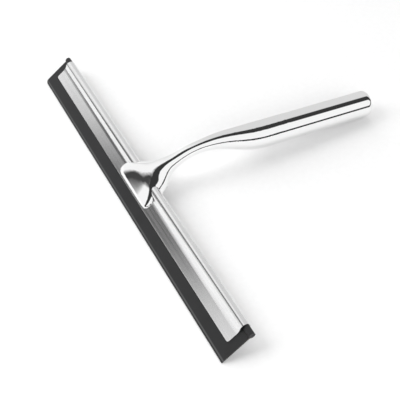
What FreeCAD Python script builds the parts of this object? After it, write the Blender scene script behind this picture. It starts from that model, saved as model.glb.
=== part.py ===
"""Window cleaning squeegee: rubber blade, blade channel, cast handle, clamp jaw and two screws.

+X runs along the blade, +Y from the blade's lip towards the end of the grip and +Z up. The origin
is on the table, under the middle of the squeegee as it lies on its lip and the end of its grip.
"""
import FreeCAD, Part
import math
import os
import re

import Sketcher
from FreeCAD import Matrix, Placement, Rotation, Vector

doc = FreeCAD.newDocument("window_squeegee")
sheet = doc.addObject("Spreadsheet::Sheet", "Dims")

# ---------------------------------------------------------------- driving dimensions, mm and degrees
DIMENSIONS = {
    # the squeegee as a whole
    "overall_depth": 177.4,
    "blade_angle": 36.0,
    # rubber blade, an extrusion: lip, flat web and round bulb
    "rubber_length": 254.0,
    "rubber_thickness": 1.1,
    "bevel_length": 1.4,
    "bevel_drop": 0.4,
    "bulb_centre": 21.5,
    "bulb_radius": 1.85,
    "lip_corner_radius": 2.6,
    # blade channel, a strip folded round the bulb: a bead, a cove each side of it and two leaves
    "channel_length": 242.0,
    "channel_wall": 0.5,
    "leaf_start": 8.8,
    "leaf_gap": 1.3,
    "leaf_corner_radius": 1.5,
    "cove_start": 15.15,
    "bead_centre": 20.75,
    "bead_radius": 3.2,
    # handle casting: saddle, neck and grip
    "grip_diameter": 18.2,
    "grip_slope": 4.6,
    "grip_length": 80.0,
    "grip_run_in": 4.0,
    "grip_corner": 4.5,
    "grip_crown": 0.6,
    "joint_tolerance": 0.001,
    "seat_clearance": 0.02,
    "seat_width": 60.0,
    "seat_front": 5.0,
    "seat_ceiling": 9.4,
    "seat_back": 28.6,
    "seat_drop": 5.0,
    # clamp jaw under the channel, and the two M3 screws that draw it up
    "jaw_width": 30.0,
    "jaw_front": 11.5,
    "jaw_front_thickness": 2.2,
    "jaw_heel": 17.0,
    "jaw_lift": 60.0,
    "jaw_tail": 27.3,
    "jaw_tail_width": 16.0,
    "jaw_shoulder": 2.2,
    "jaw_top": 9.2,
    "jaw_bottom": 7.0,
    "screw_spacing": 9.5,
    "screw_reach": 24.0,
    "screw_diameter": 3.0,
    "screw_length": 8.0,
    "screw_lead": 0.3,
    "head_diameter": 5.6,
    "head_rim": 0.1,
    "socket_width": 2.0,
    "socket_depth": 1.1,
    "screw_clearance": 0.02,
    "tapped_depth": 6.2,
}

# Stations of the saddle, across the blade's plane: distance along the blade from the lip, half
# width, and heights off the blade's mid-plane of the crest, the widest level and the keel.
SADDLE_STATIONS = {
    "front": (9.9, 16.2, 2.2, 0.4, -1.0),
    "brow": (10.8, 18.2, 3.2, 0.2, -2.0),
    "wing": (13.4, 19.1, 4.1, 0.0, -3.0),
    "crease": (16.6, 18.5, 4.75, -0.2, -4.5),
    "groove": (19.4, 16.8, 5.1, -0.8, -6.0),
    "bead": (22.0, 14.5, 5.05, -2.2, -7.5),
    "heel": (24.8, 12.4, 4.7, -3.2, -8.5),
    "root": (27.8, 10.1, 3.9, -4.2, -9.3),
}
SADDLE_FIELDS = ("along", "half", "crest", "level", "keel")

# Stations of the neck, where its section is round: reach from the lip, height and diameter.
NECK_STATIONS = {
    "throat": (31.5, 16.8, 11.4),
    "waist": (37.5, 19.3, 8.6),
    "stem": (45.4, 21.9, 7.7),
    "arch": (54.1, 22.95, 8.1),
    "swell": (63.5, 22.5, 10.2),
    "flare": (73.4, 20.5, 13.0),
    "shoulder": (84.0, 17.5, 16.4),
}
NECK_FIELDS = ("reach", "height", "diameter")

for name, values in SADDLE_STATIONS.items():
    DIMENSIONS.update({f"{name}_{field}": value for field, value in zip(SADDLE_FIELDS, values)})
for name, values in NECK_STATIONS.items():
    DIMENSIONS.update({f"{name}_{field}": value for field, value in zip(NECK_FIELDS, values)})

for row, (alias, value) in enumerate(DIMENSIONS.items(), start=1):
    sheet.set(f"A{row}", alias)
    sheet.set(f"B{row}", str(value))
    sheet.setAlias(f"B{row}", alias)
doc.recompute()


def size(expression):
    """The value of an expression over the sheet's aliases, such as "bead_radius - channel_wall"."""
    value = sheet.evalExpression(expression)
    return float(getattr(value, "Value", value))


def bound(expression):
    """The same expression, as another object of the document writes it."""
    def named(word):
        return f"Dims.{word[0]}" if word[0] in DIMENSIONS else word[0]

    return re.sub(r"[a-z]\w*", named, expression)


# ---------------------------------------------------------------- frames
# Points of the blade are given as (along, off): along the blade from its lip, and off its mid-plane.
ANGLE = math.radians(size("blade_angle"))
ALONG = Vector(0, math.cos(ANGLE), math.sin(ANGLE))
OFF = Vector(0, -math.sin(ANGLE), math.cos(ANGLE))
ACROSS = Vector(1, 0, 0)
LIP = Vector(
    0,
    size("rubber_thickness / 2 - bevel_drop") * math.sin(ANGLE) - size("overall_depth / 2"),
    size("rubber_thickness / 2") * math.cos(ANGLE),
)


def blade_point(along, off):
    return LIP + ALONG * along + OFF * off


def side_point(reach, height):
    """A point of the middle plane, given by its reach from the lip and its height over the table."""
    return Vector(0, LIP.y + reach, height)


def sketch_frame(first, second, origin):
    """A placement whose first two axes are the given directions."""
    normal = first.cross(second)
    return Placement(Matrix(
        first.x, second.x, normal.x, origin.x,
        first.y, second.y, normal.y, origin.y,
        first.z, second.z, normal.z, origin.z,
        0, 0, 0, 1,
    ))


BLADE_FRAME = sketch_frame(ALONG, OFF, LIP)
SIDE_FRAME = sketch_frame(Vector(0, 1, 0), Vector(0, 0, 1), side_point(0, 0))


# ---------------------------------------------------------------- sketch and feature helpers
def new_body(label, placement):
    body = doc.addObject("PartDesign::Body", label)
    body.Label = label
    body.Placement = placement
    return body


def new_sketch(body, name, role="XY_Plane"):
    sketch = body.newObject("Sketcher::SketchObject", name)
    plane = [feature for feature in body.Origin.OriginFeatures if feature.Role == role][0]
    sketch.AttachmentSupport = (plane, [""])
    sketch.MapMode = "FlatFace"
    return sketch


def drive(sketch, kind, *target, expression):
    """Add a dimension to a sketch and bind it to the sheet."""
    number = sketch.addConstraint(Sketcher.Constraint(kind, *target, size(expression)))
    sketch.renameConstraint(number, f"size_{number}")
    sketch.setExpression(f"Constraints.size_{number}", bound(expression))


def draw_outline(sketch, corners, arcs=None):
    """Draw a closed outline through corners, each an (x, y) pair of expressions.

    The edge after corner i is a line, or an arc where arcs[i] gives its centre, radius and turn (+1
    left, -1 right). A coordinate or radius that starts with ~ is left for the arc beside it to settle.
    """
    arcs = arcs or {}
    places = [Vector(*(size(text.lstrip("~")) for text in corner), 0) for corner in corners]
    first_points = []
    last_points = []
    for index, start in enumerate(places):
        stop = places[(index + 1) % len(places)]
        if index not in arcs:
            edge = sketch.addGeometry(Part.LineSegment(start, stop))
            first_points.append((edge, 1))
            last_points.append((edge, 2))
            continue
        centre_x, centre_y, radius, turn = arcs[index]
        centre = Vector(size(centre_x), size(centre_y), 0)
        ends = (start, stop) if turn > 0 else (stop, start)
        angles = [math.atan2(end.y - centre.y, end.x - centre.x) for end in ends]
        circle = Part.Circle(centre, Vector(0, 0, 1), size(radius.lstrip("~")))
        edge = sketch.addGeometry(Part.ArcOfCircle(circle, angles[0], angles[1]))
        first_points.append((edge, 1 if turn > 0 else 2))
        last_points.append((edge, 2 if turn > 0 else 1))
        drive(sketch, "DistanceX", -1, 1, edge, 3, expression=centre_x)
        drive(sketch, "DistanceY", -1, 1, edge, 3, expression=centre_y)
        if not radius.startswith("~"):
            drive(sketch, "Radius", edge, expression=radius)
    for index, corner in enumerate(corners):
        joined = (*last_points[index - 1], *first_points[index])
        sketch.addConstraint(Sketcher.Constraint("Coincident", *joined))
        for kind, text in zip(("DistanceX", "DistanceY"), corner):
            if not text.startswith("~"):
                drive(sketch, kind, -1, 1, *first_points[index], expression=text)
    doc.recompute()


def pad_both_ways(body, sketch, name, length):
    """Pad a sketch to a full length, half of it each side of the sketch's plane."""
    pad = body.newObject("PartDesign::Pad", name)
    pad.Profile = sketch
    pad.Midplane = True
    pad.setExpression("Length", bound(length))
    doc.recompute()
    return pad


def round_corners(body, name, front, edge, radius, sides):
    """Round the corners between a front edge and the two ends, each by cutting away a spandrel."""
    sketch = new_sketch(body, f"{name}_outline", "XZ_Plane")
    inset = f"({front} + {radius})"
    for side in sides:
        tangent = f"{side} * ({edge} - {radius})"
        end = f"{side} * ({edge})"
        draw_outline(
            sketch,
            [
                (f"{front} - {radius}", f"{end} + {side} * {radius}"),
                (f"{front} - {radius}", tangent),
                (f"~{front}", tangent),
                (inset, f"~{end}"),
                (inset, f"{end} + {side} * {radius}"),
            ],
            {2: (inset, tangent, radius, -side)},
        )
    cut = body.newObject("PartDesign::Pocket", name)
    cut.Profile = sketch
    cut.Type = "ThroughAll"
    cut.Midplane = True
    doc.recompute()
    return cut


# ---------------------------------------------------------------- rubber blade
def make_rubber_blade():
    """One extrusion: a strip with a bevelled lip, and a bulb that the bead of the channel holds."""
    body = new_body("rubber_blade", BLADE_FRAME)
    sketch = new_sketch(body, "rubber_profile")
    face = "rubber_thickness / 2"
    bulb_edge = f"~bulb_centre - sqrt(bulb_radius ^ 2 - ({face}) ^ 2)"
    draw_outline(
        sketch,
        [
            ("0 * bevel_length", f"-{face}"),
            (bulb_edge, f"-{face}"),
            (bulb_edge, face),
            ("bevel_length", face),
            ("0 * bevel_length", f"{face} - bevel_drop"),
        ],
        {1: ("bulb_centre", "0 * bulb_centre", "bulb_radius", 1)},
    )
    pad_both_ways(body, sketch, "rubber_extrusion", "rubber_length")
    lip = "0 * bevel_length"
    round_corners(body, "trimmed_corner", lip, "rubber_length / 2", "lip_corner_radius", (-1,))
    return body


# ---------------------------------------------------------------- blade channel
LEAF = "(leaf_gap / 2 + channel_wall)"
COVE_SPAN = "(bead_centre - cove_start)"
COVE_RADIUS = f"(({COVE_SPAN} ^ 2 + {LEAF} ^ 2 - bead_radius ^ 2) / (2 * (bead_radius - {LEAF})))"
COVE_PIVOT = f"({LEAF} + {COVE_RADIUS})"


def cove_end(growth):
    """Where a cove runs into the bead, (along, off), on a surface that far outside the channel's."""
    share = f"(bead_radius + {growth}) / (bead_radius + {COVE_RADIUS})"
    return f"(bead_centre - {COVE_SPAN} * {share})", f"({COVE_PIVOT} * {share})"


def make_blade_channel():
    """A strip folded into a round bead and two leaves, with a cove between the bead and each leaf."""
    body = new_body("blade_channel", BLADE_FRAME)
    sketch = new_sketch(body, "channel_profile")
    inner_leaf = "(leaf_gap / 2)"
    inner_cove = f"~{COVE_RADIUS} + channel_wall"
    rim = "leaf_start + channel_wall / 2"
    outer_along, outer_off = cove_end("0 * channel_wall")
    inner_along, inner_off = cove_end("(-channel_wall)")
    draw_outline(
        sketch,
        [
            (rim, f"~-{LEAF}"),
            ("cove_start", f"~-{LEAF}"),
            (outer_along, f"~-{outer_off}"),
            (outer_along, f"~{outer_off}"),
            ("cove_start", f"~{LEAF}"),
            (rim, f"~{LEAF}"),
            (rim, f"~{inner_leaf}"),
            ("cove_start", f"~{inner_leaf}"),
            (inner_along, f"~{inner_off}"),
            (inner_along, f"~-{inner_off}"),
            ("cove_start", f"~-{inner_leaf}"),
            (rim, f"~-{inner_leaf}"),
        ],
        {
            1: ("cove_start", f"-{COVE_PIVOT}", f"~{COVE_RADIUS}", -1),
            2: ("bead_centre", "0 * bead_centre", "bead_radius", 1),
            3: ("cove_start", COVE_PIVOT, f"~{COVE_RADIUS}", -1),
            5: (rim, f"{inner_leaf} + channel_wall / 2", "channel_wall / 2", 1),
            7: ("cove_start", COVE_PIVOT, inner_cove, 1),
            8: ("bead_centre", "0 * bead_centre", "bead_radius - channel_wall", -1),
            9: ("cove_start", f"-{COVE_PIVOT}", inner_cove, 1),
            11: (rim, f"-{inner_leaf} - channel_wall / 2", "channel_wall / 2", 1),
        },
    )
    pad_both_ways(body, sketch, "folded_strip", "channel_length")
    round_corners(body, "leaf_corners", "leaf_start", "channel_length / 2", "leaf_corner_radius", (1, -1))
    return body


# ---------------------------------------------------------------- handle casting
SECTION_POINTS = 32
RUN_IN_SECTIONS = 5
SADDLE_ROUNDNESS = {
    "front": 3.4, "brow": 3.3, "wing": 3.2, "crease": 3.0,
    "groove": 2.8, "bead": 2.6, "heel": 2.3, "root": 2.0,
}
BELLY_ROUNDNESS = 4.0


def smooth_section(centre, upwards, half, rise, fall, roundness=2.0, belly=2.0):
    """A closed wire across the handle: an ellipse, or squarer where its roundness is over 2."""
    points = []
    for number in range(SECTION_POINTS):
        turn = 2 * math.pi * number / SECTION_POINTS
        power = 2 / (roundness if turn < math.pi else belly)
        sideways = math.copysign(abs(math.cos(turn)) ** (2 / roundness), math.cos(turn))
        height = math.copysign(abs(math.sin(turn)) ** power, math.sin(turn))
        reach = rise if height > 0 else fall
        points.append(centre + ACROSS * (half * sideways) + upwards * (reach * height))
    curve = Part.BSplineCurve()
    knots = [number / SECTION_POINTS for number in range(SECTION_POINTS + 1)]
    curve.interpolate(Points=points, PeriodicFlag=True, Parameters=knots)
    return Part.Wire([curve.toShape()])


def saddle_sections():
    sections = []
    for name, roundness in SADDLE_ROUNDNESS.items():
        along, half, crest, level, keel = (size(f"{name}_{field}") for field in SADDLE_FIELDS)
        sections.append(smooth_section(
            blade_point(along, level), OFF, half, crest - level, level - keel, roundness, BELLY_ROUNDNESS,
        ))
    return sections


def crown_radius():
    """Radius of the low crown that closes the grip."""
    return size("((grip_diameter / 2) ^ 2 + grip_crown ^ 2) / (2 * grip_crown)")


def grip_axis():
    """The tip of the grip's crown and the grip's direction, its rounded rim resting on the table."""
    slope = math.radians(size("grip_slope"))
    rim = size("grip_corner")
    inner = size("grip_diameter / 2 - grip_corner")
    back = crown_radius() - math.sqrt((crown_radius() - rim) ** 2 - inner ** 2)
    reach = size("overall_depth / 2") - rim - inner * math.sin(slope) + back * math.cos(slope)
    height = rim + inner * math.cos(slope) - back * math.sin(slope)
    return Vector(0, reach, height), Vector(0, math.cos(slope), -math.sin(slope))


def neck_sections():
    """Round sections along a smooth centre line, which runs on into the grip's straight axis."""
    grip_end, grip_direction = grip_axis()
    centres = [side_point(size(f"{name}_reach"), size(f"{name}_height")) for name in NECK_STATIONS]
    radii = [size(f"{name}_diameter / 2") for name in NECK_STATIONS]
    for part in range(RUN_IN_SECTIONS):
        centres.append(grip_end - grip_direction * size(f"grip_length - {part} * grip_run_in"))
    radii += [size("grip_diameter / 2")] * RUN_IN_SECTIONS
    line = Part.BSplineCurve()
    line.interpolate(Points=centres)
    sections = []
    for centre, radius in zip(centres, radii):
        upwards = ACROSS.cross(line.tangent(line.parameter(centre))[0])
        sections.append(smooth_section(centre, upwards, radius, radius, radius))
    return sections


def make_grip_form():
    """The straight part of the grip, with a low crown on its end and a rounded rim."""
    grip_end, direction = grip_axis()
    radius = size("grip_diameter / 2")
    length = size(f"grip_length - {RUN_IN_SECTIONS - 1} * grip_run_in")
    bar = Part.makeCylinder(radius, length, grip_end - direction * length, direction)
    crowned = bar.common(Part.makeSphere(crown_radius(), grip_end - direction * crown_radius()))
    nearest = size("3 * grip_crown")
    rim = [edge for edge in crowned.Edges if (edge.BoundBox.Center - grip_end).Length < nearest]
    return crowned.makeFillet(size("grip_corner"), rim)


def make_casting():
    """The raw casting: one skin over the saddle and the neck, joined to the round grip."""
    casting = doc.addObject("Part::Feature", "raw_casting")
    skin = Part.makeLoft(saddle_sections() + neck_sections(), True, False)
    casting.Shape = skin.fuse([make_grip_form()], size("joint_tolerance"))
    doc.recompute()
    return casting


# ---------------------------------------------------------------- seat of the channel
REACH = "{along} * cos(blade_angle * 1 deg) - {off} * sin(blade_angle * 1 deg)"
HEIGHT = "(rubber_thickness / 2 + {off}) * cos(blade_angle * 1 deg) + {along} * sin(blade_angle * 1 deg)"


def side(along, off):
    """Expressions for a point of the blade in the side view: its reach and its height."""
    return f"({REACH.format(along=along, off=off)})", f"({HEIGHT.format(along=along, off=off)})"


def free(text):
    return f"~{text}"


BEAD = side("bead_centre", "0")
SEAT_LEAF = f"({LEAF} + seat_clearance)"
SEAT_BEAD = "(bead_radius + seat_clearance)"
SEAT_COVE = f"~{COVE_RADIUS} - seat_clearance"


def make_seat():
    """The space the channel takes out of the saddle, and the opening for the jaw behind it."""
    body = new_body("channel_seat", SIDE_FRAME)
    sketch = new_sketch(body, "seat_profile")
    front = side("seat_front", SEAT_LEAF)
    cove_from = side("cove_start", SEAT_LEAF)
    cove_to = side(*cove_end("seat_clearance"))
    cove_pivot = side("cove_start", COVE_PIVOT)
    back = f"{BEAD[0]} + {SEAT_BEAD}"
    draw_outline(
        sketch,
        [
            front,
            (cove_from[0], free(cove_from[1])),
            (cove_to[0], free(cove_to[1])),
            (free(back), BEAD[1]),
            (back, "seat_ceiling"),
            ("seat_back", "seat_ceiling"),
            ("seat_back", "-seat_drop"),
            (front[0], "-seat_drop"),
        ],
        {
            1: (*cove_pivot, SEAT_COVE, 1),
            2: (*BEAD, SEAT_BEAD, -1),
        },
    )
    pad_both_ways(body, sketch, "seat_space", "seat_width")
    return body


def screw_places():
    """Where the two screws stand: the middle of each head's face, under the jaw."""
    half = size("screw_spacing / 2")
    return {
        "clamp_screw_left": side_point(size("screw_reach"), size("jaw_bottom")) - ACROSS * half,
        "clamp_screw_right": side_point(size("screw_reach"), size("jaw_bottom")) + ACROSS * half,
    }


def make_handle():
    """The casting with its seat for the channel and its two tapped holes."""
    casting = make_casting()
    cutters = [make_seat()]
    for name, place in screw_places().items():
        hole = doc.addObject("Part::Cylinder", f"{name}_hole")
        hole.setExpression("Radius", bound("screw_diameter / 2 + screw_clearance"))
        hole.setExpression("Height", bound("seat_ceiling - jaw_bottom + tapped_depth"))
        hole.Placement = Placement(place, Rotation())
        cutters.append(hole)
    spaces = doc.addObject("Part::MultiFuse", "handle_spaces")
    spaces.Shapes = cutters
    handle = doc.addObject("Part::Cut", "handle")
    handle.Label = "handle"
    handle.Base = casting
    handle.Tool = spaces
    doc.recompute()
    return handle


# ---------------------------------------------------------------- clamp jaw
def make_clamp_jaw():
    """The plate that grips the channel from below: a broad front and a tail for the two screws."""
    body = new_body("clamp_jaw", SIDE_FRAME)
    sketch = new_sketch(body, "jaw_profile")
    front = side("jaw_front", f"(-{SEAT_LEAF})")
    front_foot = side("jaw_front", f"(-{SEAT_LEAF} - jaw_front_thickness)")
    cove_from = side("cove_start", f"(-{SEAT_LEAF})")
    end_along, end_off = cove_end("seat_clearance")
    cove_to = side(end_along, f"(-{end_off})")
    cove_pivot = side("cove_start", f"(-{COVE_PIVOT})")
    heel = f"{BEAD[0]} + {SEAT_BEAD} * cos(jaw_lift * 1 deg)"
    draw_outline(
        sketch,
        [
            front,
            (cove_from[0], free(cove_from[1])),
            (cove_to[0], free(cove_to[1])),
            (heel, free(f"{BEAD[1]} - {SEAT_BEAD} * sin(jaw_lift * 1 deg)")),
            (heel, "jaw_top"),
            ("jaw_tail", "jaw_top"),
            ("jaw_tail", "jaw_bottom"),
            ("jaw_heel", "jaw_bottom"),
            front_foot,
        ],
        {
            1: (*cove_pivot, SEAT_COVE, -1),
            2: (*BEAD, SEAT_BEAD, 1),
        },
    )
    pad_both_ways(body, sketch, "jaw_plate", "jaw_width")
    relief = new_sketch(body, "tail_sides", "XZ_Plane")
    for hand in (-1, 1):
        inner = f"{hand} * jaw_tail_width / 2"
        outer = f"{hand} * jaw_width"
        shoulder = f"{heel} + jaw_shoulder"
        draw_outline(relief, [
            (shoulder, inner),
            ("jaw_tail + jaw_top", inner),
            ("jaw_tail + jaw_top", outer),
            (shoulder, outer),
        ])
    sides = body.newObject("PartDesign::Pocket", "tail_relief")
    sides.Profile = relief
    sides.Type = "ThroughAll"
    sides.Midplane = True
    doc.recompute()
    countersink_jaw(body)
    return body


def countersink_jaw(body):
    """The two countersunk clearance holes of the tail, each turned about its screw's axis."""
    for number, hand in enumerate((-1, 1)):
        sketch = new_sketch(body, f"hole_{number}_profile")
        sketch.AttachmentOffset = Placement(Vector(0, 0, hand * size("screw_spacing / 2")), Rotation())
        axis = "screw_reach"
        mouth = "screw_reach + head_diameter / 2 + screw_clearance"
        shank = "screw_reach + screw_diameter / 2 + screw_clearance"
        draw_outline(sketch, [
            (axis, "jaw_bottom"),
            (mouth, "jaw_bottom"),
            (mouth, "jaw_bottom + head_rim"),
            (shank, "jaw_bottom + head_rim + (head_diameter - screw_diameter) / 2"),
            (shank, "jaw_top"),
            (axis, "jaw_top"),
        ])
        cut = body.newObject("PartDesign::Groove", f"screw_hole_{number}")
        cut.Profile = sketch
        cut.ReferenceAxis = (sketch, ["Edge6"])  # the outline's last edge stands on the screw's axis
        cut.Angle = 360
        doc.recompute()


# ---------------------------------------------------------------- clamp screws
def make_screw(label, place):
    """A countersunk M3 screw, head down, its hexagon socket in the face of the head."""
    body = new_body(label, Placement(place, Rotation()))
    sketch = new_sketch(body, f"{label}_profile", "XZ_Plane")
    shank = "screw_diameter / 2"
    draw_outline(sketch, [
        ("0 * screw_diameter", "0 * screw_length"),
        ("head_diameter / 2", "0 * screw_length"),
        ("head_diameter / 2", "head_rim"),
        (shank, "head_rim + (head_diameter - screw_diameter) / 2"),
        (shank, "screw_length - screw_lead"),
        (f"{shank} - screw_lead", "screw_length"),
        ("0 * screw_diameter", "screw_length"),
    ])
    turned = body.newObject("PartDesign::Revolution", f"{label}_blank")
    turned.Profile = sketch
    turned.ReferenceAxis = (sketch, ["V_Axis"])
    turned.Angle = 360
    doc.recompute()
    hexagon = new_sketch(body, f"{label}_hexagon")
    corner = "socket_width / sqrt(3)"
    draw_outline(hexagon, [
        (f"{corner} * cos({turn} deg)", f"{corner} * sin({turn} deg)") for turn in range(0, 360, 60)
    ])
    socket = body.newObject("PartDesign::Pocket", f"{label}_socket")
    socket.Profile = hexagon
    socket.setExpression("Length", bound("socket_depth"))
    socket.Reversed = True
    doc.recompute()
    return body


# ---------------------------------------------------------------- assembly
nodes = [make_rubber_blade(), make_blade_channel(), make_handle(), make_clamp_jaw()]
for name, place in screw_places().items():
    nodes.append(make_screw(name, place))
doc.recompute()

for thing in doc.Objects:
    if {"Invalid", "Error"} & set(thing.State):
        raise RuntimeError(f"{thing.Name} did not build: {thing.State}")
for node in nodes:
    if node.Shape.isNull() or not node.Shape.isValid():
        raise RuntimeError(f"{node.Label} has no sound shape")

os.makedirs("parts", exist_ok=True)
for node in nodes:
    node.Shape.exportStep(f"parts/{node.Label}.step")
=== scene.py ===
"""Window cleaning squeegee in a plain studio: chrome handle, rolled steel channel, black rubber."""
import math

import bpy
from mathutils import Matrix, Vector

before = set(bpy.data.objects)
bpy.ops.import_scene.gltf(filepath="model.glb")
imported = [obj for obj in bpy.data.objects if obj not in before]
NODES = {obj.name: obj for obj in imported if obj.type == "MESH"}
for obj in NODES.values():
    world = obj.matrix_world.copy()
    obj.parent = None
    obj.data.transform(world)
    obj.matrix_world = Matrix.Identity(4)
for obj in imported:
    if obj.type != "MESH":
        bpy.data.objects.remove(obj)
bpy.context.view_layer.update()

MM = 0.001

BLADE_ANGLE = math.radians(36)
BEVEL_LENGTH = 1.4 * MM


def along_blade(point):
    """How far a point lies up the blade's slope, from the frame's origin."""
    return point.y * math.cos(BLADE_ANGLE) + point.z * math.sin(BLADE_ANGLE)


# the bevel ends this far up the slope: its own length from the rubber's lowest edge
LIP_EDGE = BEVEL_LENGTH + min(along_blade(vertex.co) for vertex in NODES["rubber_blade"].data.vertices)

# a painted highlight: a lighter grey line along that edge, where it would catch the light; full this
# near to it, gone this far from it, and its grey
HIGHLIGHT_FULL = 0.25 * MM
HIGHLIGHT_GONE = 0.6 * MM
HIGHLIGHT_GREY = (0.07, 0.07, 0.071, 1)

# nearly all values of a noise lie between these two
NOISE_LOW = 0.3
NOISE_HIGH = 0.7


# ---------------------------------------------------------------- node helpers
class Shading:
    """A material's node tree, with short calls that add and join its nodes."""

    def __init__(self, name):
        self.material = bpy.data.materials.new(name)
        self.material.use_nodes = True
        self.tree = self.material.node_tree
        self.shader = self.tree.nodes["Principled BSDF"]
        self.place = self.add("ShaderNodeTexCoord").outputs["Object"]

    def add(self, kind, **settings):
        node = self.tree.nodes.new(kind)
        for name, value in settings.items():
            setattr(node, name, value)
        return node

    def link(self, source, target):
        self.tree.links.new(source, target)

    def set(self, **values):
        """Uniform values on the shader's own sockets."""
        for name, value in values.items():
            self.shader.inputs[name.replace("_", " ")].default_value = value

    def drive(self, **sources):
        """Links to the shader's own sockets."""
        for name, source in sources.items():
            self.link(source, self.shader.inputs[name.replace("_", " ")])

    def stretched(self, x, y, z):
        """Object coordinates, scaled by a different amount along each axis."""
        mapping = self.add("ShaderNodeMapping", vector_type="POINT")
        mapping.inputs["Scale"].default_value = (x, y, z)
        self.link(self.place, mapping.inputs["Vector"])
        return mapping.outputs["Vector"]

    def noise(self, place, scale, detail=2.0, roughness=0.5):
        node = self.add("ShaderNodeTexNoise")
        node.inputs["Scale"].default_value = scale
        node.inputs["Detail"].default_value = detail
        node.inputs["Roughness"].default_value = roughness
        self.link(place, node.inputs["Vector"])
        return node.outputs["Fac"]

    def between(self, value, low, high, from_low=NOISE_LOW, from_high=NOISE_HIGH):
        """A number moved from one range to another."""
        node = self.add("ShaderNodeMapRange")
        node.inputs["From Min"].default_value = from_low
        node.inputs["From Max"].default_value = from_high
        node.inputs["To Min"].default_value = low
        node.inputs["To Max"].default_value = high
        self.link(value, node.inputs["Value"])
        return node.outputs["Result"]

    def tint(self, value, dark, light):
        """A colour that goes from dark to light as a noise goes from low to high."""
        ramp = self.add("ShaderNodeValToRGB")
        ramp.color_ramp.elements[0].position = NOISE_LOW
        ramp.color_ramp.elements[0].color = (*dark, 1)
        ramp.color_ramp.elements[1].position = NOISE_HIGH
        ramp.color_ramp.elements[1].color = (*light, 1)
        self.link(value, ramp.inputs["Fac"])
        return ramp.outputs["Color"]

    def painted_highlight_line(self, colour):
        """The colour, lightened to grey in a fine line along the bevel's edge: a painted highlight
        where the edge would catch the light.
        """
        turned = self.add("ShaderNodeVectorMath", operation="DOT_PRODUCT")
        turned.inputs[1].default_value = (0, math.cos(BLADE_ANGLE), math.sin(BLADE_ANGLE))
        self.link(self.place, turned.inputs[0])
        off = self.add("ShaderNodeMath", operation="SUBTRACT")
        off.inputs[1].default_value = LIP_EDGE
        self.link(turned.outputs["Value"], off.inputs[0])
        apart = self.add("ShaderNodeMath", operation="ABSOLUTE")
        self.link(off.outputs[0], apart.inputs[0])
        # painted highlight: full on the bevel's edge, fading out away from it
        highlight = self.between(apart.outputs[0], 1.0, 0.0, HIGHLIGHT_FULL, HIGHLIGHT_GONE)
        mix = self.add("ShaderNodeMix", data_type="RGBA")
        mix.inputs["B"].default_value = HIGHLIGHT_GREY
        self.link(highlight, mix.inputs["Factor"])
        self.link(colour, mix.inputs["A"])
        return mix.outputs["Result"]

    def bump(self, height, strength, distance, below=None):
        node = self.add("ShaderNodeBump")
        node.inputs["Strength"].default_value = strength
        node.inputs["Distance"].default_value = distance
        self.link(height, node.inputs["Height"])
        if below is not None:
            self.link(below, node.inputs["Normal"])
        return node.outputs["Normal"]


# ---------------------------------------------------------------- materials
def chrome(name, grey, smooth, dull, ripple):
    """Polished plate: faint smears in its gloss and the slow ripple of a cast and buffed surface."""
    made = Shading(name)
    made.set(Metallic=1.0)
    smears = made.noise(made.stretched(1, 0.35, 1), 60, 5, 0.6)
    specks = made.noise(made.place, 2600, 1)
    waves = made.bump(made.noise(made.place, 45, 1), ripple, 0.2 * MM)
    made.drive(
        Roughness=made.between(smears, smooth, dull),
        Base_Color=made.tint(smears, [grey * 0.97] * 3, [grey] * 3),
        Normal=made.bump(specks, 0.02, 0.01 * MM, waves),
    )
    return made.material


def rolled_steel(name):
    """Bright rolled strip: long fine grain and a few handling marks along the blade."""
    made = Shading(name)
    made.set(Metallic=1.0)
    grain = made.noise(made.stretched(6, 900, 900), 4, 3, 0.6)
    streaks = made.noise(made.stretched(1.5, 160, 160), 5, 2)
    clouds = made.noise(made.place, 35, 4, 0.6)
    fine = made.bump(grain, 0.012, 0.03 * MM)
    made.drive(
        Roughness=made.between(streaks, 0.15, 0.2),
        Base_Color=made.tint(clouds, (0.78, 0.78, 0.785), (0.86, 0.86, 0.86)),
        Normal=made.bump(clouds, 0.012, 0.2 * MM, fine),
    )
    return made.material


def turned_steel(name):
    """Stainless screws: the fine grain that turning leaves."""
    made = Shading(name)
    made.set(Metallic=1.0)
    grain = made.noise(made.stretched(500, 500, 4000), 3, 3)
    made.drive(
        Roughness=made.between(grain, 0.22, 0.4),
        Base_Color=made.tint(grain, (0.42, 0.42, 0.43), (0.6, 0.6, 0.61)),
        Normal=made.bump(grain, 0.25, 0.02 * MM),
    )
    return made.material


def moulded_rubber(name):
    """Extruded rubber: faint lines along the strip, a dusting of bloom, a fine matt skin and a painted
    highlight along the bevel's edge.
    """
    made = Shading(name)
    made.set(Specular_IOR_Level=0.36)
    lines = made.noise(made.stretched(2, 700, 700), 3, 3)
    bloom = made.noise(made.place, 70, 5, 0.65)
    skin = made.noise(made.place, 3200, 2)
    black = made.tint(bloom, (0.014, 0.014, 0.0145), (0.021, 0.021, 0.022))
    coarse = made.bump(lines, 0.12, 0.05 * MM)
    made.drive(
        Roughness=made.between(bloom, 0.42, 0.62),
        # the base colour has a painted highlight line along the bevel's edge
        Base_Color=made.painted_highlight_line(black),
        Normal=made.bump(skin, 0.2, 0.02 * MM, coarse),
    )
    return made.material


MATERIALS = {
    "handle": chrome("handle_chrome", grey=0.93, smooth=0.02, dull=0.05, ripple=0.02),
    "clamp_jaw": chrome("jaw_chrome", grey=0.8, smooth=0.1, dull=0.22, ripple=0.3),
    "blade_channel": rolled_steel("channel_steel"),
    "clamp_screw_left": turned_steel("screw_steel"),
    "rubber_blade": moulded_rubber("blade_rubber"),
}
MATERIALS["clamp_screw_right"] = MATERIALS["clamp_screw_left"]

for node, material in MATERIALS.items():
    NODES[node].data.materials.clear()
    NODES[node].data.materials.append(material)


# ---------------------------------------------------------------- table
TABLE_HALF = 0.9


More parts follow.
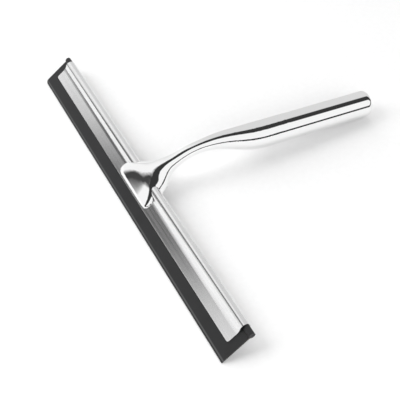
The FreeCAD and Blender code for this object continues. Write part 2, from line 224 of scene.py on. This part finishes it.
def make_table():
    """A pale table, wide enough to fill nearly every reflection below the horizon."""
    mesh = bpy.data.meshes.new("table_top")
    corners = [(-1, -1), (1, -1), (1, 1), (-1, 1)]
    mesh.from_pydata([(x * TABLE_HALF, y * TABLE_HALF, 0) for x, y in corners], [], [(0, 1, 2, 3)])
    table = bpy.data.objects.new("table_top", mesh)
    bpy.context.scene.collection.objects.link(table)
    made = Shading("table_paint")
    made.set(Specular_IOR_Level=0.2)
    grain = made.noise(made.place, 300, 3)
    made.drive(
        Roughness=made.between(grain, 0.55, 0.65),
        Base_Color=made.tint(grain, (0.84, 0.84, 0.84), (0.86, 0.86, 0.86)),
    )
    mesh.materials.append(made.material)


make_table()


# ---------------------------------------------------------------- studio
# A plain soft studio: light walls all round, the one on the left dimmer towards the back; a straight
# dark strip overhead that runs the way the handle points; one unlit upright corner at the front left,
# which reaches up to the strip; and a thin dark gap where the wall on the right meets the table.
DARK = 0.04
BELOW = 0.8
STRIP_MIDDLE = 0.08
STRIP_HALF = 0.14
STRIP_BLUR = 0.02
WALL_BACK = 0.75
CORNER_HALF = 0.14
CORNER_BLUR = 0.1
CORNER_DARK = 0.06
GAP_HEIGHT = 0.16
GAP_BLUR = 0.03

# each pair is where a soft change starts and ends, in parts of a ray's direction
LEFT_WALL_DIMS = (-0.1, 0.3)
CORNER_STOPS = (-0.2, 0.0)
GAP_STARTS = (-0.1, 0.1)
TABLE_LEVEL = (-0.04, -0.03)

# keeps the division safe for a ray that points straight down
LEAST_DEPTH = 0.05


class Sky:
    """The world's node tree, with short calls for arithmetic on the direction of a ray."""

    def __init__(self):
        world = bpy.data.worlds.new("studio")
        bpy.context.scene.world = world
        world.use_nodes = True
        self.tree = world.node_tree
        self.background = self.tree.nodes["Background"]
        coordinates = self.tree.nodes.new("ShaderNodeTexCoord")
        split = self.tree.nodes.new("ShaderNodeSeparateXYZ")
        self.tree.links.new(coordinates.outputs["Generated"], split.inputs[0])
        self.x, self.y, self.z = split.outputs

    def work(self, operation, *values):
        """One arithmetic node on numbers or sockets."""
        node = self.tree.nodes.new("ShaderNodeMath")
        node.operation = operation
        for slot, value in zip(node.inputs, values):
            if isinstance(value, (int, float)):
                slot.default_value = value
            else:
                self.tree.links.new(value, slot)
        return node.outputs[0]

    def step(self, value, start, end, low=0.0, high=1.0):
        """A smooth step from low to high as the value goes from start to end."""
        node = self.tree.nodes.new("ShaderNodeMapRange")
        node.interpolation_type = "SMOOTHSTEP"
        for name, number in zip(("From Min", "From Max", "To Min", "To Max"), (start, end, low, high)):
            node.inputs[name].default_value = number
        self.tree.links.new(value, node.inputs["Value"])
        return node.outputs["Result"]


def make_studio():
    """Light by direction: each dark shape is 0 or dim inside and 1 outside, and they are multiplied."""
    sky = Sky()
    depth = sky.work("MAXIMUM", sky.work("ADD", sky.z, 1.0), LEAST_DEPTH)
    across = sky.work("SUBTRACT", sky.work("DIVIDE", sky.x, depth), STRIP_MIDDLE)
    strip = sky.step(sky.work("ABSOLUTE", across), STRIP_HALF - STRIP_BLUR, STRIP_HALF + STRIP_BLUR)

    left_wall = sky.step(sky.y, *LEFT_WALL_DIMS, 1.0, WALL_BACK)
    walls = sky.work("MAXIMUM", left_wall, sky.step(across, -STRIP_HALF, STRIP_HALF))

    above_gap = sky.step(sky.z, GAP_HEIGHT, GAP_HEIGHT + GAP_BLUR)
    gap = sky.work("MAXIMUM", above_gap, sky.step(sky.x, *GAP_STARTS, 1.0, 0.0))

    corner = sky.work("ABSOLUTE", sky.work("SUBTRACT", sky.x, sky.y))
    corner = sky.step(corner, CORNER_HALF - CORNER_BLUR, CORNER_HALF + CORNER_BLUR, CORNER_DARK, 1.0)
    corner = sky.work("MAXIMUM", corner, sky.step(sky.work("ADD", sky.x, sky.y), *CORNER_STOPS))

    level = sky.work("MULTIPLY", sky.work("MULTIPLY", walls, strip), gap)
    level = sky.work("MULTIPLY", level, corner)
    level = sky.work("MAXIMUM", level, DARK)
    level = sky.work("MAXIMUM", level, sky.step(sky.z, *TABLE_LEVEL, BELOW, 0.0))
    sky.tree.links.new(level, sky.background.inputs["Color"])


def soft_light(name, place, width, height, power):
    """A large area light aimed at the squeegee, which leaves no hot shape in the chrome."""
    light = bpy.data.lights.new(name, "AREA")
    light.shape = "RECTANGLE"
    light.size = width
    light.size_y = height
    light.energy = power
    lamp = bpy.data.objects.new(name, light)
    lamp.location = place
    lamp.rotation_mode = "QUATERNION"
    lamp.rotation_quaternion = (-Vector(place)).to_track_quat("-Z", "Y")
    lamp.visible_glossy = False
    bpy.context.scene.collection.objects.link(lamp)


make_studio()
soft_light("key", place=(-0.24, -0.66, 0.66), width=0.6, height=0.6, power=3.7)
soft_light("fill", place=(0, 0, 1.2), width=2.0, height=2.0, power=5.5)
soft_light("side_right", place=(1.1, 0, 0.6), width=1.2, height=0.8, power=5.5)
soft_light("side_left", place=(-1.1, 0, 0.6), width=1.2, height=0.8, power=2.5)


# ---------------------------------------------------------------- camera
CAMERA_PLACE = (0.33515, -0.20886, 0.38)
CAMERA_RIGHT = Vector((0.46004, 0.88790, 0.0))
CAMERA_UP = Vector((-0.64915, 0.33635, 0.68225))
SENSOR_WIDTH_MM = 36.0
LENS_MM = 77.66
NEAREST = 0.01
FARTHEST = 20


def make_camera():
    """A long lens above the near end of the blade, looking down across the squeegee."""
    right = CAMERA_RIGHT.copy()
    back = right.cross(CAMERA_UP).normalized()
    up = back.cross(right).normalized()
    right.normalize()
    lens = bpy.data.cameras.new("camera")
    lens.sensor_width = SENSOR_WIDTH_MM
    lens.lens = LENS_MM
    lens.clip_start = NEAREST
    lens.clip_end = FARTHEST
    camera = bpy.data.objects.new("camera", lens)
    turn = Matrix((right, up, back)).transposed().to_4x4()
    camera.matrix_world = Matrix.Translation(CAMERA_PLACE) @ turn
    bpy.context.scene.collection.objects.link(camera)
    bpy.context.scene.camera = camera


make_camera()
bpy.context.scene.view_settings.view_transform = "Standard"
bpy.context.scene.view_settings.look = "None"
